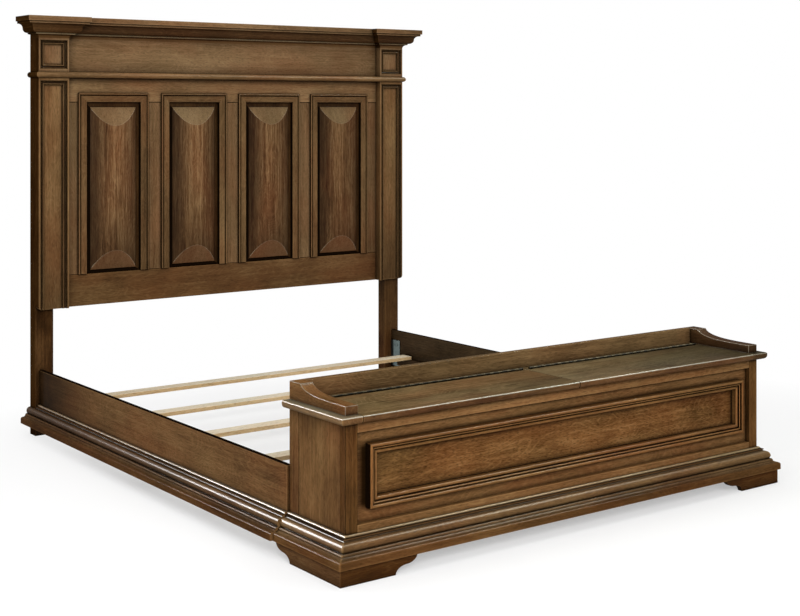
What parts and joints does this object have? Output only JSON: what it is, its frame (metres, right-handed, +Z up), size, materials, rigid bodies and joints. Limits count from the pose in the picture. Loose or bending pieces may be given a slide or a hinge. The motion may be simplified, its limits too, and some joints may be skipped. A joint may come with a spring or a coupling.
{
  "type": "storage bed",
  "caption": "King-size panel bed with a tall moulded headboard, slatted side rails and a low storage bench across the foot whose lids lift on piano hinges.",
  "frame": {"origin": "on the floor, under the middle of the bed's overall box", "axes": "+X across the bed to the right as seen from its foot, +Y towards the headboard, +Z up"},
  "size_m": [2.172, 2.555, 1.883],
  "materials": {
    "headboard_wood": "satin, warm brown stain",
    "panel_wood": "satin, warm brown stain with darker flanks",
    "moulding_wood": "satin, dark brown glaze in the grooves",
    "rail_wood": "satin, warm brown stain",
    "slat_wood": "raw, planed",
    "bench_wood": "satin, warm brown stain",
    "inside_wood": "thin clear coat",
    "top_wood": "satin, olive brown stain",
    "steel": "zinc plated",
    "hinge_brass": "aged brass"
  },
  "bodies": {
    "bed": {"headboard_post_left": "headboard_wood", "headboard_post_right": "headboard_wood", "pilaster_left": "headboard_wood", "pilaster_right": "headboard_wood", "pilaster_moulding_left": "moulding_wood", "pilaster_moulding_right": "moulding_wood", "frieze_board": "headboard_wood", "crown_center": "moulding_wood", "crown_left": "moulding_wood", "crown_right": "moulding_wood", "crown_cap_board": "headboard_wood", "astragal": "headboard_wood", "headboard_top_rail": "headboard_wood", "headboard_bottom_rail": "headboard_wood", "headboard_stiles": "headboard_wood", "raised_panel_1": "panel_wood", "raised_panel_2": "panel_wood", "raised_panel_3": "panel_wood", "raised_panel_4": "panel_wood", "panel_mouldings": "moulding_wood", "headboard_back": "headboard_wood", "side_rail_left": "rail_wood", "side_rail_right": "rail_wood", "rail_moulding_left": "moulding_wood", "rail_moulding_right": "moulding_wood", "slat_cleats": "rail_wood", "slat_1": "slat_wood", "slat_2": "slat_wood", "slat_3": "slat_wood", "slat_4": "slat_wood", "slat_5": "slat_wood", "rail_hook_plates": "steel", "hook_plate_screws": "steel", "bench_post_left": "bench_wood", "bench_post_right": "bench_wood", "bench_side_panels": "bench_wood", "bench_back_stiles": "bench_wood", "bench_back_panel": "bench_wood", "bench_bottom": "inside_wood", "bench_divider": "inside_wood", "bench_front_bands": "bench_wood", "bench_front_frame": "bench_wood", "bench_front_panel": "bench_wood", "bolection_moulding": "moulding_wood", "base_moulding_front": "moulding_wood", "base_moulding_left": "moulding_wood", "base_moulding_right": "moulding_wood", "foot_left": "moulding_wood", "foot_right": "moulding_wood", "end_cap_left": "top_wood", "end_cap_right": "top_wood", "hinge_rail": "top_wood", "gallery_back": "bench_wood", "gallery_ends": "bench_wood", "hinge_fixed_leaves": "hinge_brass", "hinge_pins": "hinge_brass"},
    "left_lid": {"lid_left": "top_wood", "hinge_leaf_left": "hinge_brass"},
    "right_lid": {"lid_right": "top_wood", "hinge_leaf_right": "hinge_brass"}
  },
  "joints": [
    {"name": "left_lid_hinge", "type": "hinge", "parent": "bed", "child": "left_lid", "pos_m": [-0.4655, -0.9521, 0.5159], "axis": [-1, 0, 0], "range_deg": [0, 129]},
    {"name": "right_lid_hinge", "type": "hinge", "parent": "bed", "child": "right_lid", "pos_m": [0.4655, -0.9521, 0.5159], "axis": [-1, 0, 0], "range_deg": [0, 129]}
  ]
}
